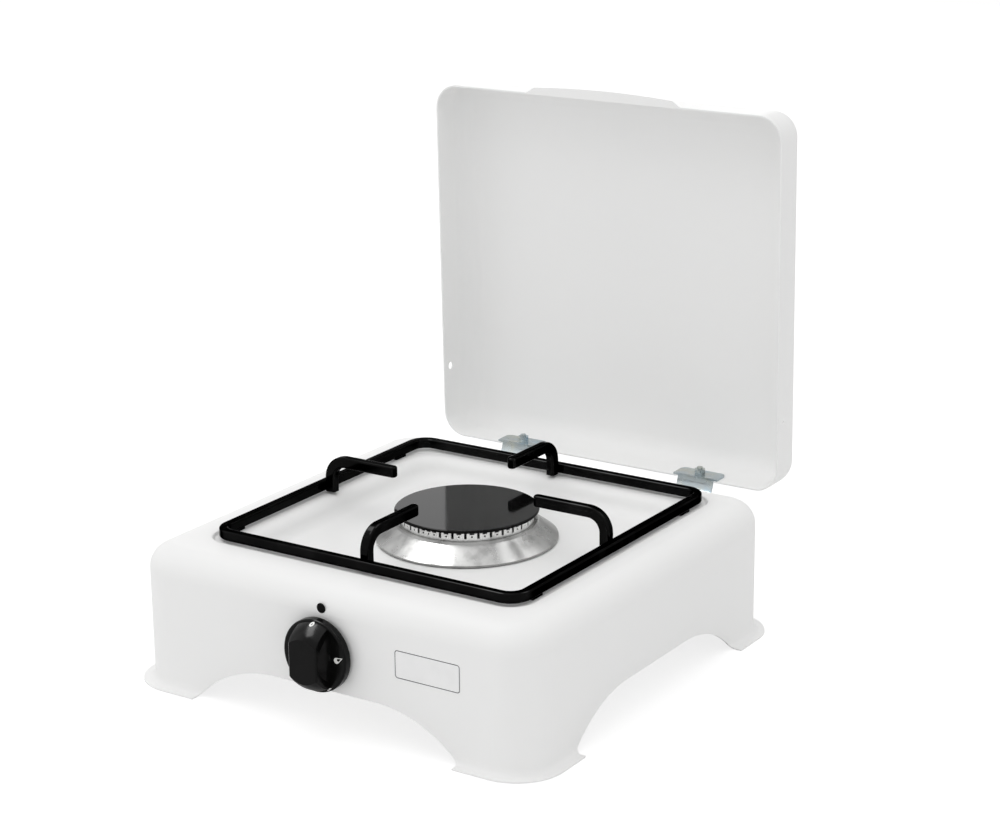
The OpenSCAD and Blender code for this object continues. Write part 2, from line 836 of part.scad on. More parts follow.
module knob() {
    flat_bore = spindle_r - 1.2 + run_fit;
    bore_front = knob_face + 4;
    face = knob_back - knob_skirt;
    edge = 1.2;
    color([0.06, 0.06, 0.06])
    translate([0, 0, tap_z])
    difference() {
        union() {
            translate([0, knob_back, 0])
                rotate([90, 0, 0])
                    rotate_extrude() {
                        square([knob_r, knob_skirt - edge]);
                        square([knob_r - edge, knob_skirt]);
                        translate([knob_r - edge, knob_skirt - edge]) circle(edge);
                    }
            intersection() {
                translate([0, knob_back + 0.3, 0]) sphere(dome_r);
                translate([0, knob_face, 0]) rod_y(knob_r - edge, face - knob_face + 0.5);
                union() {
                    grip_bar(2 * knob_r);
                    grip_foot(face);
                }
            }
        }
        translate([0, knob_back - knob_hollow, 0]) rod_y(knob_r - 2.6, knob_hollow + over);
        difference() {
            translate([0, bore_front, 0]) rod_y(spindle_r + run_fit, knob_back - bore_front);
            translate([-spindle_r - over, bore_front - over, flat_bore])
                cube([2 * spindle_r + 2 * over, knob_depth, spindle_r]);
        }
    }
}

// The upright bar that fingers grip, with chamfered front edges
module grip_bar(height) {
    half = grip_w / 2;
    translate([0, 0, -height / 2])
        linear_extrude(height)
            polygon([
                [-half, knob_back], [-half, knob_face + grip_chamfer],
                [-half + grip_chamfer, knob_face], [half - grip_chamfer, knob_face],
                [half, knob_face + grip_chamfer], [half, knob_back],
            ]);
}

// The swelling at the bar's foot: where two cones cross, widest at the knob's face
module grip_foot(face) {
    wide = 1.7 * knob_r;
    apart = wide - grip_w / 2 - grip_swell;
    deep = knob_depth - knob_skirt - grip_chamfer;
    intersection_for(side = [-1, 1])
        translate([side * apart, face + 0.5, 0])
            rotate([90, 0, 0]) cylinder(r1 = wide, r2 = wide - grip_swell, h = deep);
}

// ---------- gas line ----------

module feed_pipe() {
    start = tap_back + port_len - socket;
    end = burner_y - barrel_r - port_len + socket;
    color("silver") translate([0, start, tap_z]) tube_y(pipe_r, pipe_bore, end - start);
}

module inlet_pipe() {
    start_x = -tap_r - port_len + socket;
    end_y = back_wall_y - sheet - port_len - 6 + socket;
    color("silver")
    translate([0, 0, tap_z]) {
        translate([-inlet_x + inlet_bend, port_y, 0])
            rotate(-90) tube_y(pipe_r, pipe_bore, inlet_x - inlet_bend + start_x);
        translate([-inlet_x + inlet_bend, port_y + inlet_bend, 0])
            rotate(180)
                rotate_extrude(angle = 90)
                    translate([inlet_bend, 0])
                        difference() {
                            circle(pipe_r);
                            circle(pipe_bore);
                        }
        translate([-inlet_x, port_y + inlet_bend, 0])
            tube_y(pipe_r, pipe_bore, end_y - port_y - inlet_bend);
    }
}

// Union nut, opening towards +Y over a fitting that starts at its middle
module pipe_nut() {
    difference() {
        rod_y(nut_r, nut_len, 6);
        translate([0, -over, 0]) rod_y(pipe_r + run_fit, nut_len + 2 * over);
        translate([0, nut_len / 2, 0]) rod_y(port_r + run_fit, nut_len);
    }
}

module pipe_nuts() {
    half = nut_len / 2;
    color("goldenrod")
    translate([0, 0, tap_z]) {
        translate([0, tap_back + port_len + half, 0]) rotate(180) pipe_nut();
        translate([0, burner_y - barrel_r - port_len - half, 0]) pipe_nut();
        translate([-tap_r - port_len - half, port_y, 0]) rotate(-90) pipe_nut();
        translate([-inlet_x, back_wall_y - sheet - port_len - 6 - half, 0]) pipe_nut();
    }
}

module hose_nozzle() {
    inside = back_wall_y - sheet;
    barb_r = tail_r - 0.1;
    tail_end = tail_y + tail_shank + barb_count * barb_len;
    bore_y = inside - 6 - port_len - over;
    color("goldenrod")
    translate([-inlet_x, 0, tap_z])
    difference() {
        union() {
            translate([0, inside - 6 - port_len, 0]) rod_y(port_r, tail_y - inside + 6 + port_len);
            translate([0, inside - 6, 0]) rod_y(hex_r, 6, 6);
            translate([0, tail_y, 0]) rod_y(tail_r, tail_shank);
            for (i = [0:barb_count - 1])
                translate([0, tail_y + tail_shank + i * barb_len, 0])
                    rotate([-90, 0, 0])
                        cylinder(r1 = barb_r, r2 = barb_r - barb_cut, h = barb_len);
        }
        translate([0, bore_y, 0]) {
            rod_y(tail_bore, tail_end - bore_y + over);
            rod_y(pipe_r + run_fit, socket + over);
        }
    }
}

module nozzle_locknut() {
    color("lightgrey")
    translate([-inlet_x, back_wall_y, tap_z])
        difference() {
            rod_y(hex_r, 4, 6);
            translate([0, -over, 0]) rod_y(port_r + run_fit, 4 + 2 * over);
        }
}

// ---------- lid ----------

module lip_outline() {
    half = lip_len / 2;
    chord = half - lip_slant;
    bow = (chord * chord + lip_arc * lip_arc) / (2 * lip_arc);
    intersection() {
        polygon([
            [-half, -over], [-half, 0], [-chord, lip_out], [chord, lip_out], [half, 0],
            [half, -over],
        ]);
        translate([0, lip_out - bow]) circle(bow, $fn = 360);
    }
}

module lid_pressing() {
    top = lid_z + lid_h;
    bend = 1.5;
    front = lid_y - lid_d / 2;
    translate([0, lid_y, 0]) {
        run_round(lid_w, lid_d, lid_corner_r) wall_section(lid_corner_r, lid_bend, top, lid_z);
        translate([-lid_w / 2 + lid_corner_r, -lid_d / 2 + lid_corner_r, top - sheet])
            cube([lid_w - 2 * lid_corner_r, lid_d - 2 * lid_corner_r, sheet]);
    }
    translate([0, front, lid_z]) mirror([0, 1, 0]) linear_extrude(sheet) lip_outline();
    translate([-lip_len / 2 + lip_slant, front, lid_z + sheet])
        rotate([90, 0, 90])
            linear_extrude(lip_len - 2 * lip_slant)
                difference() {
                    translate([-bend, 0]) square([bend, bend]);
                    translate([-bend, bend]) circle(bend);
                }
}

module lid_shell() {
    color("white")
    stand_open()
    difference() {
        lid_pressing();
        for (side = [-1, 1])
            translate([side * hinge_x, 0, 0]) {
                translate([-leaf_w / 2 - notch_gap, lid_back_y - sheet - over, lid_z - over])
                    cube([leaf_w + 2 * notch_gap, sheet + 2 * over, over + 3.2]);
                translate([0, lid_back_y - sheet - over, leaf_screw_z])
                    rod_y(screw_r + bolt_fit, sheet + 2 * over);
            }
        translate([-lid_w / 2 - over, lid_back_y - hole_from_back, lid_z + hole_rise])
            rotate([0, 90, 0]) cylinder(r = hole_left_r, h = sheet + 2 * over);
        translate([lid_w / 2 - sheet - over, lid_back_y - hole_from_back, lid_z + hole_rise])
            rotate([0, 90, 0]) cylinder(r = hole_right_r, h = sheet + 2 * over);
    }
}

// ---------- hinges ----------

// Side view of the leaf's web: round the shoulder and down to the pin
module leaf_web_outline() {
    start = acos((plate_y - shoulder_y) / leaf_out);
    translate([shoulder_y, shoulder_z]) arc_band(leaf_in, leaf_out, 0, start);
    translate([shoulder_y + leaf_in, pin_z - 2]) square([hinge_t, shoulder_z - pin_z + 2]);
}

// Side view of one of the leaf's ears, with the square heel that stops the open lid
module leaf_ear_outline() {
    translate([shoulder_y, shoulder_z]) arc_band(leaf_in, leaf_out + ear_depth, 0, ear_arc);
    translate([shoulder_y + leaf_in, pin_z]) square([hinge_t + ear_depth, shoulder_z - pin_z]);
    translate([pin_y, pin_z]) circle(ear_r);
    translate([pin_y, pin_z - ear_r]) square([ear_r, ear_r]);
}

// Turns a (y, z) outline into a plate of thickness t, its low face at x = 0
module across(t) {
    rotate([90, 0, 90]) linear_extrude(t) children();
}

module leaf_plate() {
    r = 4;
    difference() {
        translate([-plate_w / 2, plate_y, plate_z])
            union() {
                cube([plate_w, hinge_t, plate_h - r]);
                translate([r, 0, 0]) cube([plate_w - 2 * r, hinge_t, plate_h]);
                for (x = [r, plate_w - r]) translate([x, 0, plate_h - r]) rod_y(r, hinge_t);
            }
        translate([0, plate_y - over, leaf_screw_z])
            rod_y(screw_r + bolt_fit, hinge_t + 2 * over);
    }
}

module lid_leaf() {
    stand_open()
    difference() {
        union() {
            leaf_plate();
            translate([-leaf_w / 2, 0, 0]) across(leaf_w) leaf_web_outline();
            for (x = [-leaf_w / 2, leaf_w / 2 - hinge_t])
                translate([x, 0, 0]) across(hinge_t) leaf_ear_outline();
        }
        translate([-leaf_w, pin_y, pin_z])
            rotate([0, 90, 0]) cylinder(r = pin_r + run_fit, h = 2 * leaf_w);
    }
}

module lid_leaf_left() {
    color("lightsteelblue") translate([-hinge_x, 0, 0]) lid_leaf();
}

module lid_leaf_right() {
    color("lightsteelblue") translate([hinge_x, 0, 0]) lid_leaf();
}

module leaf_screw_places() {
    stand_open()
        for (side = [-1, 1]) translate([side * hinge_x, 0, leaf_screw_z]) children();
}

module lid_leaf_screws() {
    head = 2;
    length = sheet + hinge_t + leaf_nut_t + 1.4;
    color("lightgrey")
    leaf_screw_places() {
        translate([0, lid_back_y, 0]) rotate([-90, 0, 0]) cylinder(r1 = 3.8, r2 = 2.6, h = head);
        translate([0, lid_back_y - length, 0]) rod_y(screw_r - run_fit, length);
    }
}

module lid_leaf_nuts() {
    color("lightgrey")
    leaf_screw_places()
        translate([0, plate_y - leaf_nut_t, 0])
            difference() {
                rod_y(4, leaf_nut_t, 6);
                translate([0, -over, 0]) rod_y(screw_r, leaf_nut_t + 2 * over);
            }
}

module bracket_ear_outline() {
    depth = pin_back + ear_r;
    difference() {
        union() {
            translate([back_wall_y, bracket_z]) square([depth, pin_z - bracket_z]);
            translate([pin_y, pin_z]) circle(ear_r);
            translate([back_wall_y, pin_z - over]) square([pin_back, ear_r + over]);
        }
        // lower corner cut back towards the wall
        translate([back_wall_y + hinge_t, bracket_z - over])
            rotate(-45 + 90) translate([0, -2 * depth]) square([2 * depth, 2 * depth]);
    }
}

module hinge_bracket() {
    difference() {
        union() {
            translate([-bracket_w / 2, back_wall_y, bracket_z])
                cube([bracket_w, hinge_t, bracket_top - bracket_z]);
            for (x = [-bracket_w / 2, bracket_w / 2 - hinge_t])
                translate([x, 0, 0]) across(hinge_t) bracket_ear_outline();
        }
        translate([-bracket_w, pin_y, pin_z])
            rotate([0, 90, 0]) cylinder(r = pin_r + run_fit, h = 2 * bracket_w);
        for (side = [-1, 1])
            translate([side * rivet_x, back_wall_y - over, rivet_z])
                rod_y(rivet_r + run_fit, hinge_t + 2 * over);
    }
}

module hinge_bracket_left() {
    color("lightsteelblue") translate([-hinge_x, 0, 0]) hinge_bracket();
}

module hinge_bracket_right() {
    color("lightsteelblue") translate([hinge_x, 0, 0]) hinge_bracket();
}

module bracket_rivets() {
    color("lightgrey")
    bracket_rivet_places() {
        translate([0, -sheet - 1, 0]) rod_y(2.8, 1);
        translate([0, -sheet, 0]) rod_y(rivet_r, sheet + hinge_t);
        translate([0, hinge_t, 0]) rotate([-90, 0, 0]) cylinder(r1 = 3, r2 = 1.8, h = 1.2);
    }
}

module hinge_pins() {
    head = 1.2;
    color("lightgrey")
    for (side = [-1, 1])
        translate([side * (hinge_x - bracket_w / 2), pin_y, pin_z])
            rotate([0, side * 90, 0]) {
                translate([0, 0, -0.8]) cylinder(r = 2.6, h = 0.8);
                cylinder(r = pin_r, h = bracket_w);
                translate([0, 0, bracket_w]) cylinder(r = 3.2, h = head);
            }
}

body_shell();
burner_cup();
burner_screws();
burner_skirt();
flame_spreader();
burner_cap();
injector_jet();
pan_support();
tap_body();
tap_neck();
tap_neck_screws();
tap_locknut();
tap_plug();
tap_spindle();
tap_spring();
knob();
feed_pipe();
inlet_pipe();
pipe_nuts();
hose_nozzle();
nozzle_locknut();
lid_shell();
lid_leaf_left();
lid_leaf_right();
lid_leaf_screws();
lid_leaf_nuts();
hinge_bracket_left();
hinge_bracket_right();
bracket_rivets();
hinge_pins();
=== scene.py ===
"""Finishes, a tap spring, printed marks and a studio for a tabletop gas stove."""

import math

import bmesh
import bpy
from mathutils import Matrix, Vector


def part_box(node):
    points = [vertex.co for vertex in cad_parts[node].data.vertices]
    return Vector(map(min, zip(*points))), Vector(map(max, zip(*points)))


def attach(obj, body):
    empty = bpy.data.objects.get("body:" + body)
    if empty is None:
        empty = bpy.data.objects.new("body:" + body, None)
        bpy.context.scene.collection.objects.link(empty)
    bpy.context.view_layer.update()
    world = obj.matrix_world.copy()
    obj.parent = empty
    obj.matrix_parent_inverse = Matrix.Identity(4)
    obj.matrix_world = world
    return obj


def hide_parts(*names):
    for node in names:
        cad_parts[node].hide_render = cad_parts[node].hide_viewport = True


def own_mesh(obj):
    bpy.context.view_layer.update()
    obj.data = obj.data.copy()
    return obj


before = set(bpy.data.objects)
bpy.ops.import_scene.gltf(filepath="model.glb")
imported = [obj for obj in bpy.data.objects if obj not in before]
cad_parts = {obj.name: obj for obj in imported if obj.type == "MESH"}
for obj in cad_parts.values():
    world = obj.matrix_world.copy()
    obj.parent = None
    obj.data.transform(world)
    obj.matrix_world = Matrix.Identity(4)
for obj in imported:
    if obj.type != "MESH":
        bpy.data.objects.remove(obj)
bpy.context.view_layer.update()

bl_info = {
    "name": "Tabletop stove finishes",
    "version": (1, 0, 0),
    "blender": (4, 5, 0),
    "location": "3D View > Sidebar > Stove",
    "description": "Finishes, a tap spring, printed marks and a studio for a gas stove",
    "category": "Object",
}

MM = 0.001

# Where the solids are, in metres
KNOB_LOW, KNOB_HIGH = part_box("knob")
CAP_LOW, CAP_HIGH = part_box("burner_cap")
BURNER_X = (CAP_LOW.x + CAP_HIGH.x) / 2
BURNER_Y = (CAP_LOW.y + CAP_HIGH.y) / 2
TAP_Z = (KNOB_LOW.z + KNOB_HIGH.z) / 2
FRONT_WALL_Y = -0.144
KNOB_SKIRT_DEPTH = 0.0052
KNOB_SKIRT_FACE_Y = KNOB_HIGH.y - KNOB_SKIRT_DEPTH

# The camera, in metres, radians and millimetres
CAMERA_PLACE = (0.85131, -1.23958, 0.61445)
CAMERA_AZIMUTH = 0.583882
CAMERA_ELEVATION = 0.295995
CAMERA_ROLL = -0.010656
CAMERA_LENS = 90.662
CAMERA_SENSOR = 36

# Where the lamps aim, and the left lamp's share of the key lamp's power
LAMP_AIM = (0, 0.03, 0.1)
LEFT_LAMP_SHARE = 0.3

# What the camera alone sees of the floor: its colour dimmed, with a glow on top
FLOOR_DIMMED = 0.4
FLOOR_GLOW = 0.79

# Most of a noise's values lie in this range
NOISE_LOW, NOISE_HIGH = 0.3, 0.7


# ---------- properties ----------


class StoveFinishes(bpy.types.PropertyGroup):
    """Colours of the enamels, metals and plastic"""

    white_enamel: bpy.props.FloatVectorProperty(
        name="White enamel",
        description="Colour of the enamel on body and lid",
        subtype="COLOR",
        size=3,
        min=0,
        max=1,
        default=(0.94, 0.94, 0.935),
    )
    black_enamel: bpy.props.FloatVectorProperty(
        name="Black enamel",
        description="Colour of the enamel on pan support and burner cap",
        subtype="COLOR",
        size=3,
        min=0,
        max=1,
        default=(0.003, 0.003, 0.003),
    )
    aluminium: bpy.props.FloatVectorProperty(
        name="Aluminium",
        description="Colour of the burner's aluminium and the pipes",
        subtype="COLOR",
        size=3,
        min=0,
        max=1,
        default=(0.80, 0.80, 0.79),
    )
    zinc: bpy.props.FloatVectorProperty(
        name="Zinc plating",
        description="Colour of the plated hinges, screws, nuts and spring",
        subtype="COLOR",
        size=3,
        min=0,
        max=1,
        default=(0.44, 0.49, 0.51),
    )
    brass: bpy.props.FloatVectorProperty(
        name="Brass",
        description="Colour of the tap and the fittings",
        subtype="COLOR",
        size=3,
        min=0,
        max=1,
        default=(0.74, 0.56, 0.27),
    )
    knob_plastic: bpy.props.FloatVectorProperty(
        name="Knob plastic",
        description="Colour of the moulded knob",
        subtype="COLOR",
        size=3,
        min=0,
        max=1,
        default=(0.003, 0.003, 0.003),
    )


class StoveMarks(bpy.types.PropertyGroup):
    """Sizes and places of the dot and the plate on the front"""

    dot_radius: bpy.props.FloatProperty(
        name="Dot radius",
        description="Radius of the index dot above the knob",
        unit="LENGTH",
        default=3.15 * MM,
    )
    dot_height: bpy.props.FloatProperty(
        name="Dot height",
        description="Height of the index dot above the table",
        unit="LENGTH",
        default=77.6 * MM,
    )
    plate_width: bpy.props.FloatProperty(
        name="Plate width",
        description="Width of the bare plate on the front",
        unit="LENGTH",
        default=46.5 * MM,
    )
    plate_height: bpy.props.FloatProperty(
        name="Plate height",
        description="Height of the bare plate on the front",
        unit="LENGTH",
        default=18.4 * MM,
    )
    plate_x: bpy.props.FloatProperty(
        name="Plate place",
        description="How far the plate's middle lies right of the knob",
        unit="LENGTH",
        default=75.4 * MM,
    )
    plate_z: bpy.props.FloatProperty(
        name="Plate rise",
        description="Height of the plate's middle above the table",
        unit="LENGTH",
        default=54 * MM,
    )


class StoveStudio(bpy.types.PropertyGroup):
    """Strengths of the lights, and the floor"""

    sky: bpy.props.FloatProperty(
        name="Room light",
        description="Strength of the even light from all round",
        min=0,
        default=0.745,
    )
    key: bpy.props.FloatProperty(
        name="Key lamp",
        description="Power of the large lamp overhead, which the left lamp follows",
        subtype="POWER",
        min=0,
        default=4.4,
    )
    window: bpy.props.FloatProperty(
        name="Window",
        description="Power of the bright window that only reflections show",
        subtype="POWER",
        min=0,
        default=3.8,
    )
    glint: bpy.props.FloatProperty(
        name="Glint lamp",
        description="Power of the overhead lamp that only reflections show",
        subtype="POWER",
        min=0,
        default=15,
    )
    side_glint: bpy.props.FloatProperty(
        name="Side glint lamp",
        description="Power of the lamp behind right that only reflections show",
        subtype="POWER",
        min=0,
        default=7.5,
    )
    floor: bpy.props.FloatProperty(
        name="Floor",
        description="Lightness of the floor, from black at 0 to white at 1",
        min=0,
        max=1,
        default=0.9,
    )


# ---------- finishes ----------


class Finish:
    """A material with one shader, to which patterns are joined."""

    def __init__(self, name, colour, metallic=0.0, roughness=0.5, ior=1.5):
        self.material = bpy.data.materials.new(name)
        self.material.use_nodes = True
        self.material.diffuse_color = (*colour, 1)
        self.nodes = self.material.node_tree.nodes
        self.links = self.material.node_tree.links
        self.shader = self.nodes["Principled BSDF"]
        self.set("Base Color", (*colour, 1))
        self.set("Metallic", metallic)
        self.set("Roughness", roughness)
        self.set("IOR", ior)
        self.place = self.nodes.new("ShaderNodeTexCoord").outputs["Object"]
        self.bump = None

    def set(self, socket, value):
        self.shader.inputs[socket].default_value = value

    def centred(self, centre):
        """The place as seen from a point, in metres."""
        shift = self.nodes.new("ShaderNodeVectorMath")
        shift.operation = "SUBTRACT"
        self.links.new(self.place, shift.inputs[0])
        shift.inputs[1].default_value = centre
        return shift.outputs["Vector"]

    def noise(self, size, detail=3.0, stretch=None):
        """Cloudy values from 0 to 1, in patches of about `size` metres.

        `stretch` scales each axis: a patch grows longer along one that is below 1.
        """
        place = self.place
        if stretch:
            scaled = self.nodes.new("ShaderNodeVectorMath")
            scaled.operation = "MULTIPLY"
            self.links.new(place, scaled.inputs[0])
            scaled.inputs[1].default_value = stretch
            place = scaled.outputs["Vector"]
        cloud = self.nodes.new("ShaderNodeTexNoise")
        cloud.inputs["Scale"].default_value = 1 / size
        cloud.inputs["Detail"].default_value = detail
        self.links.new(place, cloud.inputs["Vector"])
        return cloud.outputs["Fac"]

    def rings(self, centre, width):
        """Values that change with distance from an upright axis, like turning marks."""
        split = self.nodes.new("ShaderNodeSeparateXYZ")
        self.links.new(self.centred(centre), split.inputs[0])
        squares = []
        for axis in ("X", "Y"):
            square = self.nodes.new("ShaderNodeMath")
            square.operation = "MULTIPLY"
            self.links.new(split.outputs[axis], square.inputs[0])
            self.links.new(split.outputs[axis], square.inputs[1])
            squares.append(square.outputs[0])
        total = self.nodes.new("ShaderNodeMath")
        total.operation = "ADD"
        self.links.new(squares[0], total.inputs[0])
        self.links.new(squares[1], total.inputs[1])
        radius = self.nodes.new("ShaderNodeMath")
        radius.operation = "SQRT"
        self.links.new(total.outputs[0], radius.inputs[0])
        joined = self.nodes.new("ShaderNodeCombineXYZ")
        self.links.new(radius.outputs[0], joined.inputs["X"])
        self.links.new(split.outputs["Z"], joined.inputs["Y"])
        marks = self.nodes.new("ShaderNodeTexNoise")
        marks.inputs["Scale"].default_value = 1 / width
        marks.inputs["Detail"].default_value = 2
        self.links.new(joined.outputs[0], marks.inputs["Vector"])
        return marks.outputs["Fac"]

    def spread(self, value, low, high, from_low=NOISE_LOW, from_high=NOISE_HIGH):
        """Turns the range from_low..from_high smoothly into low..high."""
        ramp = self.nodes.new("ShaderNodeMapRange")
        ramp.interpolation_type = "SMOOTHSTEP"
        ramp.inputs["From Min"].default_value = from_low
        ramp.inputs["From Max"].default_value = from_high
        ramp.inputs["To Min"].default_value = low
        ramp.inputs["To Max"].default_value = high
        self.links.new(value, ramp.inputs["Value"])
        return ramp.outputs["Result"]

    def roughen(self, value, low, high):
        """Varies the roughness by a value, from low to high."""
        self.links.new(self.spread(value, low, high), self.shader.inputs["Roughness"])

    def tint(self, value, colours):
        """Colours the finish by a value, through evenly spaced colours."""
        ramp = self.nodes.new("ShaderNodeValToRGB")
        ramp.color_ramp.interpolation = "EASE"
        points = ramp.color_ramp.elements
        while len(points) < len(colours):
            points.new(0.5)
        for i, colour in enumerate(colours):
            share = i / (len(colours) - 1)
            points[i].position = NOISE_LOW + (NOISE_HIGH - NOISE_LOW) * share
            points[i].color = (*colour, 1)
        self.links.new(value, ramp.inputs["Fac"])
        self.links.new(ramp.outputs["Color"], self.shader.inputs["Base Color"])

    def relief(self, value, height, strength):
        """Raises the surface by a value, up to `height` metres, over earlier relief."""
        bump = self.nodes.new("ShaderNodeBump")
        bump.inputs["Distance"].default_value = height
        bump.inputs["Strength"].default_value = strength
        self.links.new(value, bump.inputs["Height"])
        if self.bump:
            self.links.new(self.bump, bump.inputs["Normal"])
        self.bump = bump.outputs["Normal"]
        self.links.new(self.bump, self.shader.inputs["Normal"])


def shade(colour, by):
    """A colour made darker or lighter."""
    return tuple(min(1, c * by) for c in colour)


def white_enamel(name, colour):
    """Nearly even white with a very soft shine."""
    finish = Finish(name, colour, roughness=0.3)
    finish.set("Specular IOR Level", 0.02)
    clouds = finish.noise(0.2, detail=1)
    finish.tint(clouds, [shade(colour, 0.99), shade(colour, 1.005)])
    finish.roughen(finish.noise(0.12, detail=1), 0.28, 0.32)
    return finish.material


def black_enamel(name, colour, low, high):
    """Deep black that mirrors bright lamps only: its rim reflections are damped."""
    finish = Finish(name, colour, metallic=1.0, roughness=low)
    finish.set("Specular Tint", (0.42, 0.42, 0.42, 1))
    finish.tint(finish.noise(0.02), [shade(colour, 0.8), colour, shade(colour, 1.5)])
    finish.roughen(finish.noise(0.012), low, high)
    return finish.material


def black_plate(name, colour):
    """Black that mirrors the room at a flat angle."""
    finish = Finish(name, colour, roughness=0.06)
    finish.set("Specular IOR Level", 0.06)
    finish.tint(finish.noise(0.02), [shade(colour, 0.6), colour, shade(colour, 1.8)])
    finish.roughen(finish.noise(0.012), 0.05, 0.08)
    return finish.material


def spun_aluminium(name, colour, centre, low, high):
    """Turned sheet: fine rings round the burner's axis under soft cloudy patches."""
    finish = Finish(name, colour, metallic=1.0, roughness=low)
    finish.tint(
        finish.noise(0.014, detail=4),
        [shade(colour, 0.7), colour, shade(colour, 1.1)],
    )
    finish.roughen(finish.noise(0.009, detail=4), low, high)
    finish.relief(finish.rings(centre, width=0.0006), height=0.00003, strength=0.4)
    finish.relief(finish.noise(0.011), height=0.0003, strength=0.2)
    return finish.material


def cast_aluminium(name, colour):
    """Dull grey with a grainy skin."""
    finish = Finish(name, shade(colour, 0.75), metallic=1.0, roughness=0.5)
    finish.roughen(finish.noise(0.004), 0.42, 0.6)
    finish.relief(finish.noise(0.0012, detail=4), height=0.0002, strength=0.6)
    return finish.material


def plated_steel(name, colour):
    """Bright zinc, with the faint blue and yellow of its passivation."""
    finish = Finish(name, colour, metallic=1.0, roughness=0.28)
    blue = (colour[0] * 0.86, colour[1] * 0.98, min(1, colour[2] * 1.08))
    gold = (min(1, colour[0] * 1.1), colour[1] * 1.02, colour[2] * 0.9)
    finish.tint(finish.noise(0.012, detail=4), [blue, colour, gold])
    finish.roughen(finish.noise(0.005), 0.14, 0.3)
    brushed = finish.noise(0.0008, stretch=(1, 1, 0.15))
    finish.relief(brushed, height=0.00003, strength=0.5)
    return finish.material


def turned_brass(name, colour):
    """Warm metal with fine turning marks across the tap's axis."""
    finish = Finish(name, colour, metallic=1.0, roughness=0.3)
    tarnish = finish.noise(0.01, detail=4)
    finish.tint(tarnish, [shade(colour, 0.8), colour, shade(colour, 1.08)])
    finish.roughen(finish.noise(0.004), 0.24, 0.4)
    turning = finish.noise(0.0006, stretch=(0.1, 1, 0.1))
    finish.relief(turning, height=0.00004, strength=0.5)
    return finish.material


def drawn_pipe(name, colour):
    """Soft metal with long faint marks from front to back."""
    finish = Finish(name, colour, metallic=1.0, roughness=0.32)
    finish.roughen(finish.noise(0.003, stretch=(1, 0.08, 1)), 0.26, 0.42)
    drawing = finish.noise(0.001, stretch=(1, 0.06, 1))
    finish.relief(drawing, height=0.00003, strength=0.5)
    return finish.material


def moulded_plastic(name, colour):
    """Smooth plastic with a restrained shine."""
    finish = Finish(name, colour, roughness=0.2, ior=1.49)
    finish.set("Specular IOR Level", 0.12)
    finish.roughen(finish.noise(0.006), 0.16, 0.24)
    return finish.material


def print_ink(name, colour, shine=0.5):
    """Flat print. `shine` is how strongly it mirrors, 0.5 being plain paint."""
    finish = Finish(name, colour, roughness=0.4)
    finish.set("Specular IOR Level", shine)
    finish.roughen(finish.noise(0.002), 0.36, 0.44)
    clouds = finish.noise(0.01, detail=1)
    finish.tint(clouds, [shade(colour, 0.98), colour, shade(colour, 1.01)])
    return finish.material


def give(material, *names):
    """Puts one finish on CAD nodes."""
    for name in names:
        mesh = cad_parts[name].data
        mesh.materials.clear()
        mesh.materials.append(material)


# ---------- modelling ----------


def clear_selection():
    if bpy.context.mode != "OBJECT":
        bpy.ops.object.mode_set(mode="OBJECT")
    bpy.ops.object.select_all(action="DESELECT")


def start_piece(name):
    """Names the primitive that was just added."""
    piece = bpy.context.active_object
    piece.name = name
    piece.data.name = name
    return piece


def pick(kind, wanted):
    """In edit mode, selects only what `wanted` says yes to, of one kind of item."""
    bpy.ops.mesh.select_all(action="DESELECT")
    mesh = bmesh.from_edit_mesh(bpy.context.active_object.data)
    items = {"VERT": mesh.verts, "EDGE": mesh.edges, "FACE": mesh.faces}[kind]
    bpy.ops.mesh.select_mode(type=kind)
    for item in items:
        item.select_set(bool(wanted(item)))
    mesh.select_flush_mode()
    bmesh.update_edit_mesh(bpy.context.active_object.data)


def settle(piece, body):
    """Puts a finished piece's place into its mesh and lets it ride on a body."""
    if bpy.context.mode != "OBJECT":
        bpy.ops.object.mode_set(mode="OBJECT")
    bpy.ops.object.transform_apply(location=True, rotation=True, scale=True)
    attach(piece, body)


class STOVE_OT_enamel(bpy.types.Operator):
    """Gives body and lid their white enamel"""

    bl_idname = "stove.enamel"
    bl_label = "White enamel"

    def execute(self, context):
        colour = tuple(context.scene.stove_finishes.white_enamel)
        give(white_enamel("white enamel", colour), "body_shell", "lid_shell")
        return {"FINISHED"}


class STOVE_OT_black_enamel(bpy.types.Operator):
    """Gives pan support and burner cap their black enamel"""

    bl_idname = "stove.black_enamel"
    bl_label = "Black enamel"

    def execute(self, context):
        colour = tuple(context.scene.stove_finishes.black_enamel)
        # The bars are a lighter black than the cap
        bars = black_enamel("black enamel on bars", shade(colour, 2.2), 0.08, 0.14)
        give(bars, "pan_support")
        give(black_plate("black enamel on cap", colour), "burner_cap")
        return {"FINISHED"}


class STOVE_OT_burner_metal(bpy.types.Operator):
    """Gives skirt, flame ring and cup their aluminium"""

    bl_idname = "stove.burner_metal"
    bl_label = "Burner aluminium"

    def execute(self, context):
        colour = tuple(context.scene.stove_finishes.aluminium)
        centre = (BURNER_X, BURNER_Y, 0)
        # Painted shade: the skirt takes the aluminium darkened to 0.41, which dims the
        # lamp reflections on its cone
        spun = spun_aluminium("spun aluminium", shade(colour, 0.41), centre, 0.26, 0.38)
        turned = spun_aluminium("turned aluminium", colour, centre, 0.28, 0.42)
        give(spun, "burner_skirt")
        give(turned, "flame_spreader")
        give(cast_aluminium("cast aluminium", colour), "burner_cup")
        return {"FINISHED"}


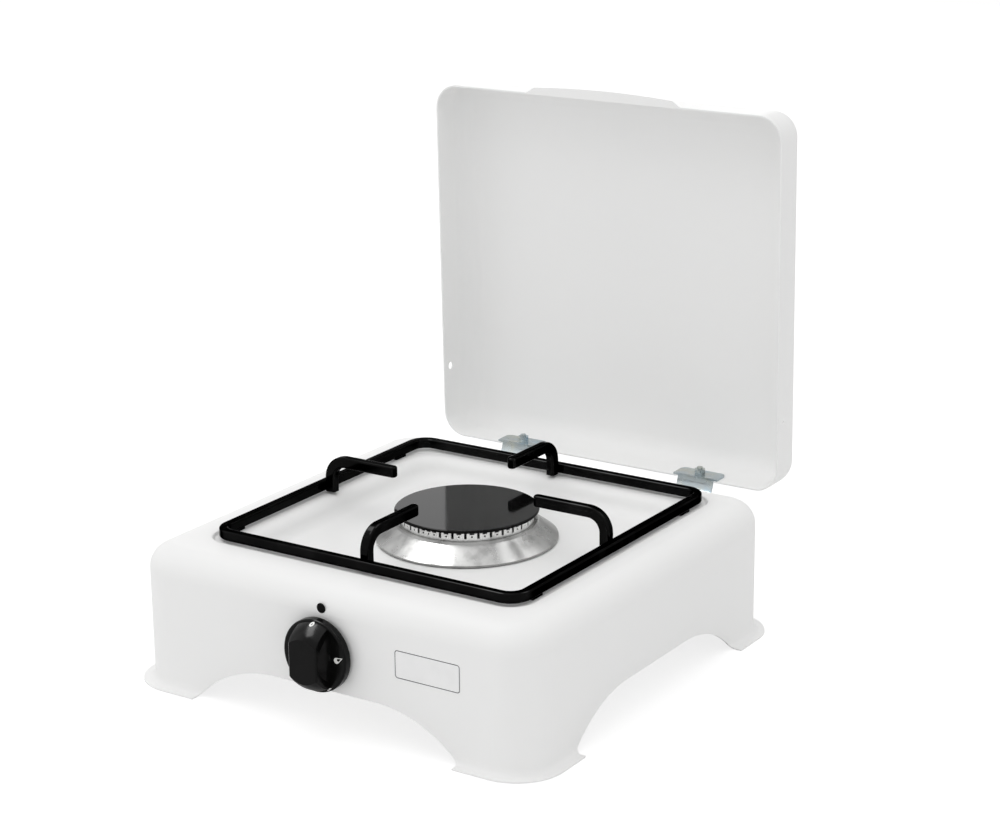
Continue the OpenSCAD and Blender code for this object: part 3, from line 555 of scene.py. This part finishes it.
class STOVE_OT_gas_line(bpy.types.Operator):
    """Gives tap, pipes and fittings their metals"""

    bl_idname = "stove.gas_line"
    bl_label = "Gas line"

    def execute(self, context):
        finishes = context.scene.stove_finishes
        give(
            turned_brass("turned brass", tuple(finishes.brass)),
            "tap_body", "tap_neck", "tap_plug", "injector_jet",
            "pipe_nuts", "hose_nozzle",
        )
        pipe = drawn_pipe("drawn pipe", tuple(finishes.aluminium))
        give(pipe, "feed_pipe", "inlet_pipe")
        return {"FINISHED"}


class STOVE_OT_plated_steel(bpy.types.Operator):
    """Gives hinges, fasteners, spindle and spring their zinc plating"""

    bl_idname = "stove.plated_steel"
    bl_label = "Zinc plating"

    def execute(self, context):
        give(
            plated_steel("zinc plated steel", tuple(context.scene.stove_finishes.zinc)),
            "lid_leaf_left", "lid_leaf_right", "lid_leaf_screws", "lid_leaf_nuts",
            "hinge_bracket_left", "hinge_bracket_right", "bracket_rivets", "hinge_pins",
            "burner_screws", "tap_neck_screws", "tap_locknut", "nozzle_locknut",
            "tap_spindle", "tap_spring",
        )
        return {"FINISHED"}


class STOVE_OT_tap_spring(bpy.types.Operator):
    """Models the tap's spring as a coil that rides on the tap's rotor; the real spring
    shortens as the knob is pushed
    """

    bl_idname = "stove.tap_spring"
    bl_label = "Tap spring"

    def execute(self, context):
        front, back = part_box("tap_spring")
        wire_radius = 0.38 * MM
        coil_radius = (back.x - front.x) / 2 - wire_radius
        length = back.y - front.y
        turns = 4
        clear_selection()
        bpy.ops.mesh.primitive_circle_add(
            vertices=12, radius=wire_radius, location=(coil_radius, 0, 0),
        )
        spring = start_piece("tap_spring_coil")
        bpy.ops.object.transform_apply(location=True, rotation=False, scale=False)
        # The wire's section winds round the knob's axis, forwards from the coil's back
        coil = spring.modifiers.new("Screw", "SCREW")
        coil.axis = "Y"
        coil.angle = 2 * math.pi
        coil.iterations = turns
        coil.screw_offset = (2 * wire_radius - length) / turns
        coil.steps = coil.render_steps = 24
        bpy.ops.object.modifier_apply(modifier=coil.name)
        # Both ends are closed, and the faces turned outwards
        bpy.ops.object.mode_set(mode="EDIT")
        bpy.ops.mesh.select_all(action="SELECT")
        bpy.ops.mesh.fill_holes(sides=0)
        bpy.ops.mesh.select_all(action="SELECT")
        bpy.ops.mesh.normals_make_consistent(inside=False)
        bpy.ops.object.mode_set(mode="OBJECT")
        spring.location = (0, back.y - wire_radius, TAP_Z)
        settle(spring, "tap_rotor")
        spring.data.materials.append(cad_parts["tap_spindle"].data.materials[0])
        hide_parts("tap_spring")
        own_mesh(spring)
        return {"FINISHED"}


class STOVE_OT_knob_plastic(bpy.types.Operator):
    """Gives the knob its moulded plastic"""

    bl_idname = "stove.knob_plastic"
    bl_label = "Knob plastic"

    def execute(self, context):
        colour = tuple(context.scene.stove_finishes.knob_plastic)
        give(moulded_plastic("moulded plastic", colour), "knob")
        return {"FINISHED"}


class STOVE_OT_index_dot(bpy.types.Operator):
    """Models the printed dot above the knob"""

    bl_idname = "stove.index_dot"
    bl_label = "Index dot"

    def execute(self, context):
        marks = context.scene.stove_marks
        thick = 0.12 * MM
        clear_selection()
        bpy.ops.mesh.primitive_cylinder_add(
            vertices=64,
            radius=marks.dot_radius,
            depth=thick,
            location=(0, FRONT_WALL_Y - thick / 2, marks.dot_height),
            rotation=(math.pi / 2, 0, 0),
        )
        dot = start_piece("index_dot")
        bpy.ops.object.mode_set(mode="EDIT")
        # Before its turn is applied, the dot's front is its upper face
        pick("FACE", lambda f: f.normal.z > 0.9)
        bpy.ops.mesh.bevel(offset=0.05 * MM, segments=2, affect="EDGES")
        settle(dot, "stove_body")
        ink = print_ink("black ink", (0.004, 0.004, 0.004), shine=0.05)
        dot.data.materials.append(ink)
        return {"FINISHED"}


class STOVE_OT_front_plate(bpy.types.Operator):
    """Models the bare plate on the front, with its thin border"""

    bl_idname = "stove.front_plate"
    bl_label = "Front plate"

    def execute(self, context):
        marks = context.scene.stove_marks
        thick = 0.15 * MM
        corner = 2.4 * MM
        border = 0.5 * MM
        clear_selection()
        bpy.ops.mesh.primitive_cube_add(
            size=1,
            location=(marks.plate_x, FRONT_WALL_Y - thick / 2, marks.plate_z),
            scale=(marks.plate_width, thick, marks.plate_height),
        )
        plate = start_piece("front_plate")
        bpy.ops.object.transform_apply(location=False, rotation=False, scale=True)
        bpy.ops.object.mode_set(mode="EDIT")
        pick("EDGE", lambda e: abs(e.verts[0].co.y - e.verts[1].co.y) > thick / 2)
        bpy.ops.mesh.bevel(offset=corner, segments=8, affect="EDGES")
        for name, colour in (
            ("plate white", (0.93, 0.93, 0.93)),
            ("plate border", (0.06, 0.06, 0.07)),
        ):
            plate.data.materials.append(print_ink(name, colour, shine=0.1))
        # The face inside the first inset turns dark, inside the second white again
        pick("FACE", lambda f: f.normal.y < -0.9)
        for ink_slot in (1, 0):
            bpy.ops.mesh.inset(thickness=border)
            plate.active_material_index = ink_slot
            bpy.ops.object.material_slot_assign()
        settle(plate, "stove_body")
        return {"FINISHED"}


def printed_ring(name, place, out, up, wide, tall, line, tip):
    """Prints an oval ring that faces `out` and stands along `up`.

    Where `tip` isn't 0, it is a drop, whose tip lies that far above its middle.
    """
    hole_share, hole_rise = 0.62, 0.7
    ink_depth = 0.3 * MM
    clear_selection()
    bpy.ops.mesh.primitive_circle_add(
        vertices=48, radius=0.5, fill_type="NGON", location=(0, 0, 0),
    )
    ring = start_piece(name)
    bpy.ops.object.mode_set(mode="EDIT")
    bpy.ops.mesh.select_all(action="SELECT")
    bpy.ops.transform.resize(value=(wide, tall, 1), center_override=(0, 0, 0))
    if tip:
        # The points above where lines from the tip touch the circle go to the tip
        pick("VERT", lambda v: v.co.y > wide * wide / 4 / tip)
        bpy.ops.transform.resize(value=(0, 0, 1), center_override=(0, tip, 0))
        bpy.ops.mesh.select_all(action="SELECT")
        bpy.ops.mesh.remove_doubles(threshold=0.001 * MM)
    pick("FACE", lambda f: True)
    bpy.ops.mesh.inset(thickness=line)
    if tip:
        bpy.ops.transform.resize(
            value=(hole_share, hole_share, 1),
            center_override=(0, hole_rise * tip, 0),
        )
    bpy.ops.mesh.delete(type="FACE")
    bpy.ops.object.mode_set(mode="OBJECT")
    wall = ring.modifiers.new("Solidify", "SOLIDIFY")
    wall.thickness = ink_depth
    wall.offset = 0
    bpy.ops.object.modifier_apply(modifier=wall.name)
    out = Vector(out).normalized()
    up = (Vector(up) - Vector(up).dot(out) * out).normalized()
    turn = Matrix((up.cross(out), up, out)).transposed().to_4x4()
    ring.matrix_world = Matrix.Translation(place) @ turn
    return ring


class STOVE_OT_dial_marks(bpy.types.Operator):
    """Models the knob's printed nought and its two flames"""

    bl_idname = "stove.dial_marks"
    bl_label = "Dial marks"

    def execute(self, context):
        ink = print_ink("white ink", (0.80, 0.80, 0.78))
        sunk = 0.04
        face = KNOB_SKIRT_FACE_Y / MM + sunk
        # Name, place, facing, upright, and width, height, line and tip, in millimetres
        marks = (
            (
                "mark_off",
                (0.7, -154.15, 70.9), (0.03, -0.36, 0.93), (0, 1, 0.4),
                (2.7, 4.2, 0.98, 0.0),
            ),
            (
                "mark_full_flame",
                (16.5, face, 50.7), (0, -1, 0), (0.9, 0, 0.44),
                (3.7, 3.7, 0.42, 5.0),
            ),
            (
                "mark_low_flame",
                (9.6, face, 30.9), (0, -1, 0), (0.87, 0, 0.5),
                (1.5, 1.5, 0.5, 3.4),
            ),
        )
        for name, place, out, up, sizes in marks:
            place = Vector(place) * MM
            ring = printed_ring(name, place, out, up, *(size * MM for size in sizes))
            ring.data.materials.append(ink)
            settle(ring, "knob")
        return {"FINISHED"}


# ---------- studio ----------


def area_lamp(name, place, size, power, diffuse=True):
    """A flat lamp that faces the stove. Without `diffuse`, only gloss shows it."""
    bpy.ops.object.light_add(type="AREA", location=place)
    lamp = bpy.context.active_object
    lamp.name = name
    beam = Vector(LAMP_AIM) - Vector(place)
    lamp.rotation_euler = beam.to_track_quat("-Z", "Y").to_euler()
    lamp.data.shape = "RECTANGLE"
    lamp.data.size, lamp.data.size_y = size
    lamp.data.energy = power
    lamp.visible_diffuse = diffuse


def white_room(strength):
    """An even room that the camera and shiny surfaces see as white."""
    world = bpy.data.worlds.new("white room")
    world.use_nodes = True
    nodes, links = world.node_tree.nodes, world.node_tree.links
    light = nodes["Background"]
    light.inputs["Color"].default_value = (1, 1, 1, 1)
    path = nodes.new("ShaderNodeLightPath")
    seen = nodes.new("ShaderNodeMath")
    seen.operation = "ADD"
    seen.use_clamp = True
    links.new(path.outputs["Is Camera Ray"], seen.inputs[0])
    links.new(path.outputs["Is Glossy Ray"], seen.inputs[1])
    both = nodes.new("ShaderNodeMapRange")
    both.inputs["To Min"].default_value = strength
    both.inputs["To Max"].default_value = 1.0
    links.new(seen.outputs[0], both.inputs["Value"])
    links.new(both.outputs["Result"], light.inputs["Strength"])
    bpy.context.scene.world = world


def white_paper(grey):
    """A floor that the camera sees as white where no shadow lies on it."""
    paper = Finish("white paper", (grey, grey, grey), roughness=0.8)
    paper.set("Specular IOR Level", 0.2)
    paper.set("Emission Color", (1, 1, 1, 1))
    path = paper.nodes.new("ShaderNodeLightPath").outputs["Is Camera Ray"]
    dimmed = paper.spread(path, grey, FLOOR_DIMMED * grey, 0, 1)
    paper.links.new(dimmed, paper.shader.inputs["Base Color"])
    glow = paper.spread(path, 0, FLOOR_GLOW, 0, 1)
    paper.links.new(glow, paper.shader.inputs["Emission Strength"])
    return paper.material


def studio_camera():
    """The camera, turned by its azimuth, elevation and roll."""
    back = Vector((
        math.sin(CAMERA_AZIMUTH) * math.cos(CAMERA_ELEVATION),
        -math.cos(CAMERA_AZIMUTH) * math.cos(CAMERA_ELEVATION),
        math.sin(CAMERA_ELEVATION),
    ))
    right = Vector((math.cos(CAMERA_AZIMUTH), math.sin(CAMERA_AZIMUTH), 0))
    up = back.cross(right)
    turned_right = math.cos(CAMERA_ROLL) * right + math.sin(CAMERA_ROLL) * up
    turned_up = -math.sin(CAMERA_ROLL) * right + math.cos(CAMERA_ROLL) * up
    turn = Matrix((turned_right, turned_up, back)).transposed().to_euler()
    bpy.ops.object.camera_add(location=CAMERA_PLACE, rotation=turn)
    camera = bpy.context.active_object
    camera.name = "studio_camera"
    camera.data.sensor_width = CAMERA_SENSOR
    camera.data.lens = CAMERA_LENS
    camera.data.clip_start = 0.05
    camera.data.clip_end = 50
    return camera


class STOVE_OT_studio(bpy.types.Operator):
    """Sets up floor, lamps, room and camera"""

    bl_idname = "stove.studio"
    bl_label = "Studio"

    def execute(self, context):
        studio = context.scene.stove_studio
        clear_selection()
        bpy.ops.mesh.primitive_plane_add(size=6, location=(0, 0, 0))
        floor = start_piece("floor")
        floor.data.materials.append(white_paper(studio.floor))

        left_power = studio.key * LEFT_LAMP_SHARE
        area_lamp("overhead", (-0.1, -0.25, 1.5), (1.4, 1.2), studio.key)
        area_lamp("left", (-1.2, -0.7, 0.8), (0.8, 1.0), left_power)
        for name, place, size, power in (
            ("window", (-1.06, 1.6, 0.68), (1.2, 1.0), studio.window),
            ("glint", (-0.5, -0.15, 1.2), (1.0, 0.4), studio.glint),
            ("side_glint", (0.75, 0.6, 1.2), (0.6, 0.6), studio.side_glint),
        ):
            area_lamp(name, place, size, power, diffuse=False)
        white_room(studio.sky)
        context.scene.camera = studio_camera()
        context.scene.view_settings.view_transform = "Standard"
        return {"FINISHED"}


# ---------- panel ----------

GROUPS = {
    "stove_finishes": StoveFinishes,
    "stove_marks": StoveMarks,
    "stove_studio": StoveStudio,
}

STEPS = (
    STOVE_OT_enamel,
    STOVE_OT_black_enamel,
    STOVE_OT_burner_metal,
    STOVE_OT_gas_line,
    STOVE_OT_plated_steel,
    STOVE_OT_tap_spring,
    STOVE_OT_knob_plastic,
    STOVE_OT_index_dot,
    STOVE_OT_front_plate,
    STOVE_OT_dial_marks,
    STOVE_OT_studio,
)


class STOVE_PT_panel(bpy.types.Panel):
    """Lists the stove's settings and steps"""

    bl_idname = "STOVE_PT_panel"
    bl_label = "Tabletop stove"
    bl_space_type = "VIEW_3D"
    bl_region_type = "UI"
    bl_category = "Stove"

    def draw(self, context):
        layout = self.layout
        for group in GROUPS:
            box = layout.box()
            settings = getattr(context.scene, group)
            for key in settings.bl_rna.properties.keys():
                if key not in ("rna_type", "name"):
                    box.prop(settings, key)
        for step in STEPS:
            layout.operator(step.bl_idname)


def register():
    for group in GROUPS.values():
        bpy.utils.register_class(group)
    for name, group in GROUPS.items():
        setattr(bpy.types.Scene, name, bpy.props.PointerProperty(type=group))
    for step in STEPS:
        bpy.utils.register_class(step)
    bpy.utils.register_class(STOVE_PT_panel)


def unregister():
    bpy.utils.unregister_class(STOVE_PT_panel)
    for step in reversed(STEPS):
        bpy.utils.unregister_class(step)
    for name in GROUPS:
        delattr(bpy.types.Scene, name)
    for group in reversed(GROUPS.values()):
        bpy.utils.unregister_class(group)


def main():
    register()
    bpy.ops.stove.enamel()
    bpy.ops.stove.black_enamel()
    bpy.ops.stove.burner_metal()
    bpy.ops.stove.gas_line()
    bpy.ops.stove.plated_steel()
    bpy.ops.stove.tap_spring()
    bpy.ops.stove.knob_plastic()
    bpy.ops.stove.index_dot()
    bpy.ops.stove.front_plate()
    bpy.ops.stove.dial_marks()
    bpy.ops.stove.studio()


if __name__ == "__main__":
    main()
